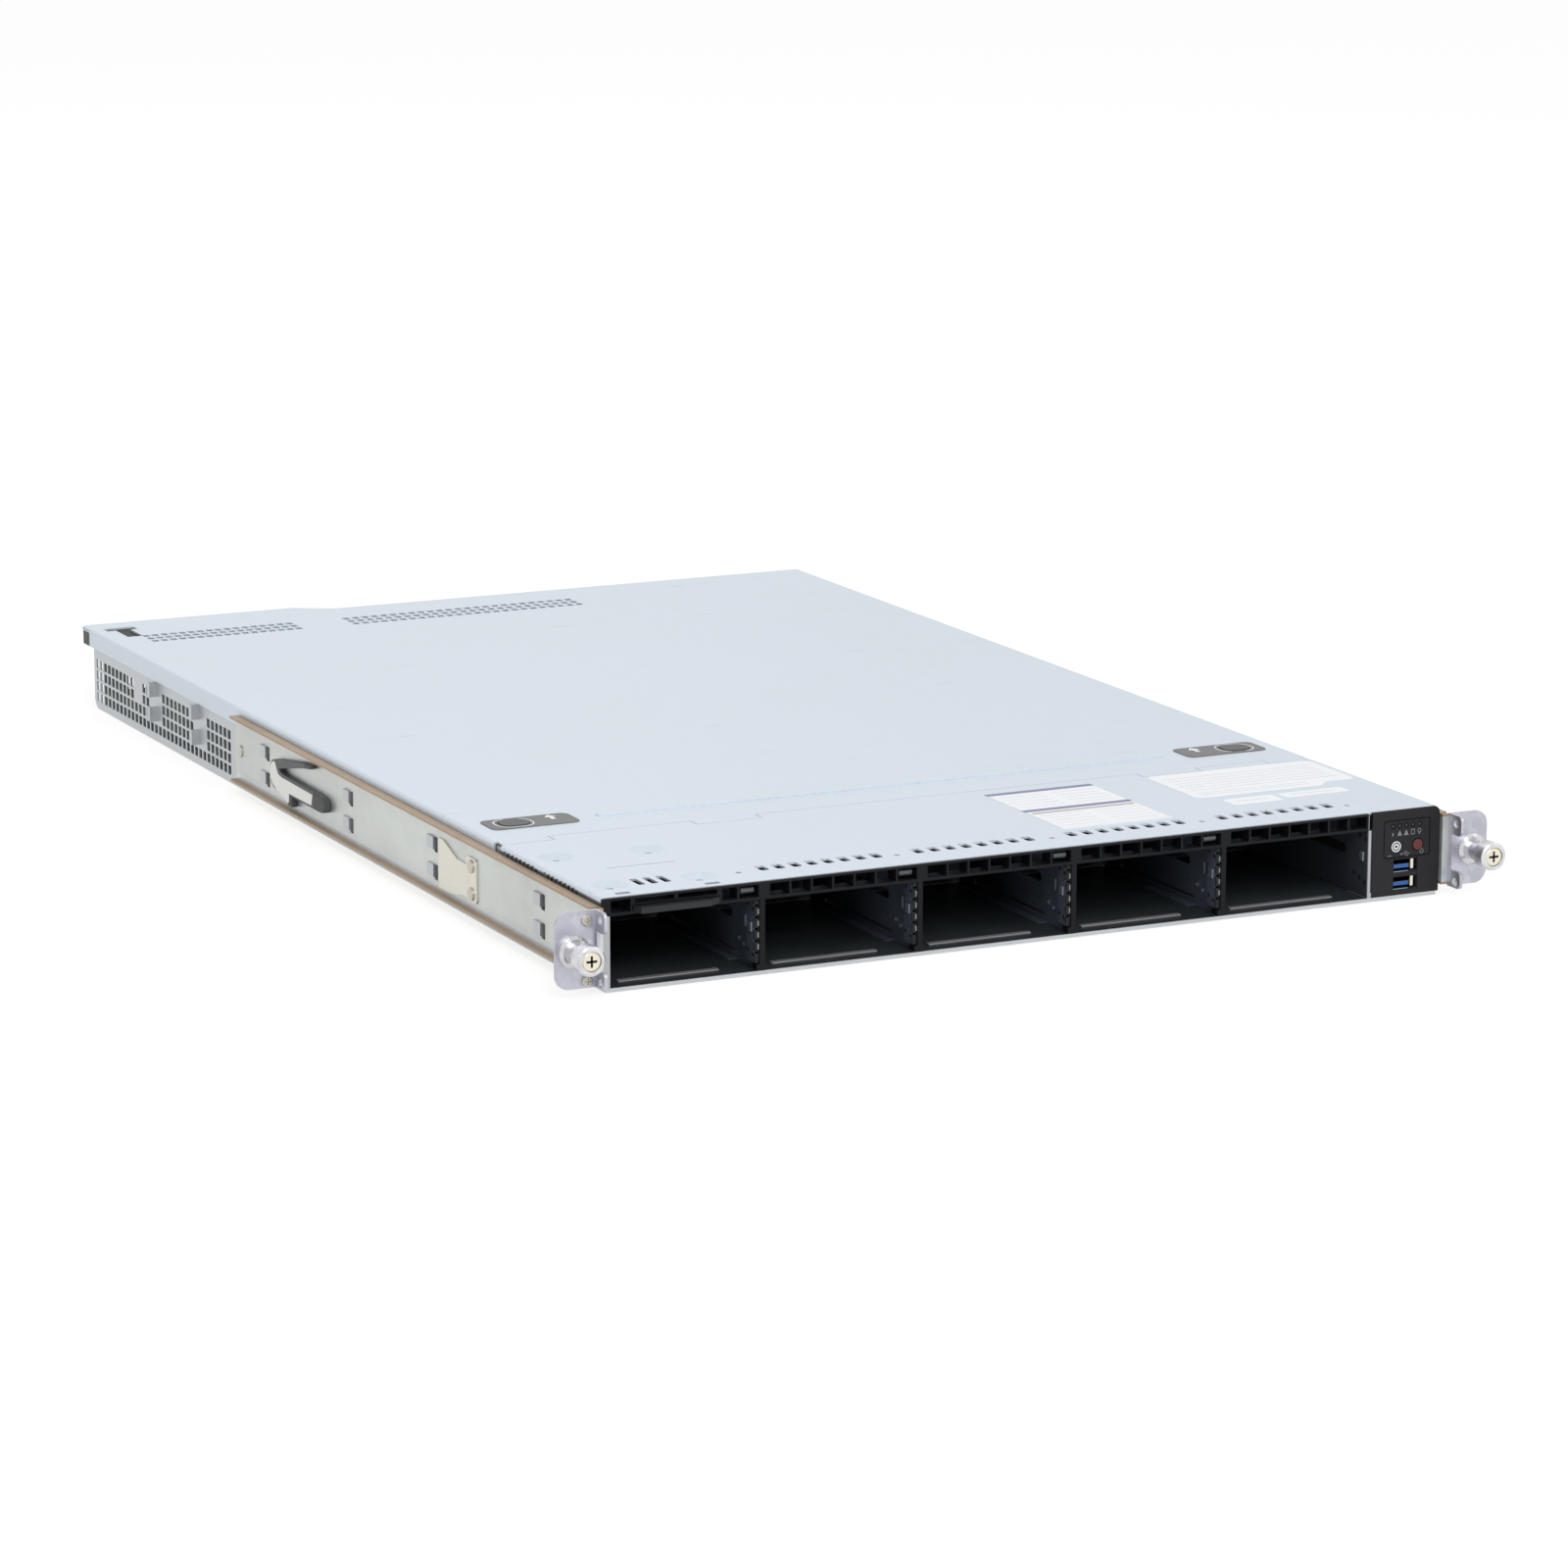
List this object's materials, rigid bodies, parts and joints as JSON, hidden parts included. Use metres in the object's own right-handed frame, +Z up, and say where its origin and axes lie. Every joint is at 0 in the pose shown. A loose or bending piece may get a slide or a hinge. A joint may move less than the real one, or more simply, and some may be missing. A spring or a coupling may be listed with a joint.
{
  "type": "rack server",
  "caption": "Low, wide rack server with open drive bays, sliding lid with push latches, captive ear screws, slide rails, fans and pull-out power supplies",
  "frame": {"origin": "bottom centre of the whole, on the tray's underside", "axes": "+X to the right seen from the front, +Y from the front towards the rear, +Z up"},
  "size_m": [0.4826, 0.73, 0.0438],
  "materials": {
    "zinc_steel": "satin",
    "cover_steel": "satin",
    "dark_steel": "satin",
    "black_plastic": "matte",
    "grey_plastic": "matte",
    "tag_plastic": "matte",
    "cream_steel": "satin",
    "knob_metal": "satin",
    "blue_plastic": "matte",
    "white_button": "gloss",
    "red_button": "gloss",
    "clear_plastic": "gloss",
    "board_green": "matte",
    "aluminium": "satin"
  },
  "bodies": {
    "chassis": {"chassis_tray": "zinc_steel", "rear_panel": "zinc_steel", "front_cover": "cover_steel", "drive_cage": "dark_steel", "divider_clips": "zinc_steel", "bezel_frame": "black_plastic", "control_panel": "black_plastic", "light_pipes": "clear_plastic", "usb_ports": "zinc_steel", "panel_board": "board_green", "ear_left": "zinc_steel", "ear_right": "zinc_steel", "ear_screws": "cream_steel", "ferrules": "knob_metal", "rail_left": "zinc_steel", "rail_right": "zinc_steel", "rail_hooks": "zinc_steel", "leaf_catches": "cream_steel", "rail_rivets": "zinc_steel", "backplane": "board_green", "drive_sockets": "black_plastic", "fan_wall": "zinc_steel", "fan_frames": "black_plastic", "motherboard": "board_green", "heatsinks": "aluminium", "memory_modules": "board_green", "air_shroud": "black_plastic", "slot_covers": "zinc_steel", "rear_ports": "zinc_steel", "psu_bay": "zinc_steel", "bay_divider_1": "dark_steel", "bay_divider_2": "dark_steel", "bay_divider_3": "dark_steel", "bay_divider_4": "dark_steel"},
    "lid": {"top_cover": "cover_steel", "latch_frames": "grey_plastic"},
    "latch_left": {"latch_button_left": "grey_plastic"},
    "carrier_left": {"screw_washer_left": "black_plastic"},
    "thumbscrew_left": {"thumb_knob_left": "knob_metal", "captive_screw_left": "cream_steel"},
    "lever_left": {"rail_lever_left": "grey_plastic"},
    "latch_right": {"latch_button_right": "grey_plastic"},
    "carrier_right": {"screw_washer_right": "black_plastic"},
    "thumbscrew_right": {"thumb_knob_right": "knob_metal", "captive_screw_right": "cream_steel"},
    "lever_right": {"rail_lever_right": "grey_plastic"},
    "locate": {"locate_button": "white_button"},
    "power": {"power_button": "red_button"},
    "tag": {"info_tag": "tag_plastic"},
    "fan_1": {"fan_rotor_1": "black_plastic"},
    "fan_2": {"fan_rotor_2": "black_plastic"},
    "fan_3": {"fan_rotor_3": "black_plastic"},
    "fan_4": {"fan_rotor_4": "black_plastic"},
    "fan_5": {"fan_rotor_5": "black_plastic"},
    "supply_1": {"psu_case_1": "zinc_steel"},
    "supply_fan_1": {"psu_rotor_1": "black_plastic"},
    "supply_latch_1": {"psu_latch_1": "grey_plastic"},
    "supply_2": {"psu_case_2": "zinc_steel"},
    "supply_fan_2": {"psu_rotor_2": "black_plastic"},
    "supply_latch_2": {"psu_latch_2": "grey_plastic"}
  },
  "joints": [
    {"name": "lid_slide", "type": "slide", "parent": "chassis", "child": "lid", "axis": [0, 1, 0], "range_m": [0, 0.012]},
    {"name": "latch_press_left", "type": "slide", "parent": "lid", "child": "latch_left", "axis": [0, 0, -1], "range_m": [0, 0.0025], "stiffness_N_per_m": 400},
    {"name": "latch_press_right", "type": "slide", "parent": "lid", "child": "latch_right", "axis": [0, 0, -1], "range_m": [0, 0.0025], "stiffness_N_per_m": 400},
    {"name": "locate_press", "type": "slide", "parent": "chassis", "child": "locate", "axis": [0, 1, 0], "range_m": [0, 0.001], "stiffness_N_per_m": 600},
    {"name": "power_press", "type": "slide", "parent": "chassis", "child": "power", "axis": [0, 1, 0], "range_m": [0, 0.001], "stiffness_N_per_m": 600},
    {"name": "tag_pull", "type": "slide", "parent": "chassis", "child": "tag", "axis": [0, -1, 0], "range_m": [0, 0.045]},
    {"name": "screw_push_left", "type": "slide", "parent": "chassis", "child": "carrier_left", "axis": [0, 1, 0], "range_m": [0, 0.004], "stiffness_N_per_m": 300},
    {"name": "screw_turn_left", "type": "hinge", "parent": "carrier_left", "child": "thumbscrew_left", "pos_m": [-0.23255, -0.356, 0.0215], "axis": [0, 1, 0], "continuous": true},
    {"name": "screw_push_right", "type": "slide", "parent": "chassis", "child": "carrier_right", "axis": [0, 1, 0], "range_m": [0, 0.004], "stiffness_N_per_m": 300},
    {"name": "screw_turn_right", "type": "hinge", "parent": "carrier_right", "child": "thumbscrew_right", "pos_m": [0.23255, -0.356, 0.0215], "axis": [0, 1, 0], "continuous": true},
    {"name": "lever_swing_left", "type": "hinge", "parent": "chassis", "child": "lever_left", "pos_m": [-0.2204, 0.0535, 0.0216], "axis": [1, 0, 0], "range_deg": [-2.5, 5], "stiffness_Nm_per_rad": 0.6},
    {"name": "lever_swing_right", "type": "hinge", "parent": "chassis", "child": "lever_right", "pos_m": [0.2204, 0.0535, 0.0216], "axis": [1, 0, 0], "range_deg": [-2.5, 5], "stiffness_Nm_per_rad": 0.6},
    {"name": "fan_spin_1", "type": "hinge", "parent": "chassis", "child": "fan_1", "pos_m": [-0.16, -0.15, 0.0213], "axis": [0, 1, 0], "continuous": true},
    {"name": "fan_spin_2", "type": "hinge", "parent": "chassis", "child": "fan_2", "pos_m": [-0.08, -0.15, 0.0213], "axis": [0, 1, 0], "continuous": true},
    {"name": "fan_spin_3", "type": "hinge", "parent": "chassis", "child": "fan_3", "pos_m": [0, -0.15, 0.0213], "axis": [0, 1, 0], "continuous": true},
    {"name": "fan_spin_4", "type": "hinge", "parent": "chassis", "child": "fan_4", "pos_m": [0.08, -0.15, 0.0213], "axis": [0, 1, 0], "continuous": true},
    {"name": "fan_spin_5", "type": "hinge", "parent": "chassis", "child": "fan_5", "pos_m": [0.16, -0.15, 0.0213], "axis": [0, 1, 0], "continuous": true},
    {"name": "supply_slide_1", "type": "slide", "parent": "chassis", "child": "supply_1", "axis": [0, 1, 0], "range_m": [0, 0.16]},
    {"name": "supply_fan_spin_1", "type": "hinge", "parent": "supply_1", "child": "supply_fan_1", "pos_m": [0.0825, 0.327, 0.0212], "axis": [0, 1, 0], "continuous": true},
    {"name": "supply_latch_swing_1", "type": "hinge", "parent": "supply_1", "child": "supply_latch_1", "pos_m": [0.1352, 0.315, 0.035], "axis": [0, 0, 1], "range_deg": [0, 6], "stiffness_Nm_per_rad": 0.1},
    {"name": "supply_slide_2", "type": "slide", "parent": "chassis", "child": "supply_2", "axis": [0, 1, 0], "range_m": [0, 0.16]},
    {"name": "supply_fan_spin_2", "type": "hinge", "parent": "supply_2", "child": "supply_fan_2", "pos_m": [0.1585, 0.327, 0.0212], "axis": [0, 1, 0], "continuous": true},
    {"name": "supply_latch_swing_2", "type": "hinge", "parent": "supply_2", "child": "supply_latch_2", "pos_m": [0.2112, 0.315, 0.035], "axis": [0, 0, 1], "range_deg": [0, 6], "stiffness_Nm_per_rad": 0.1}
  ]
}
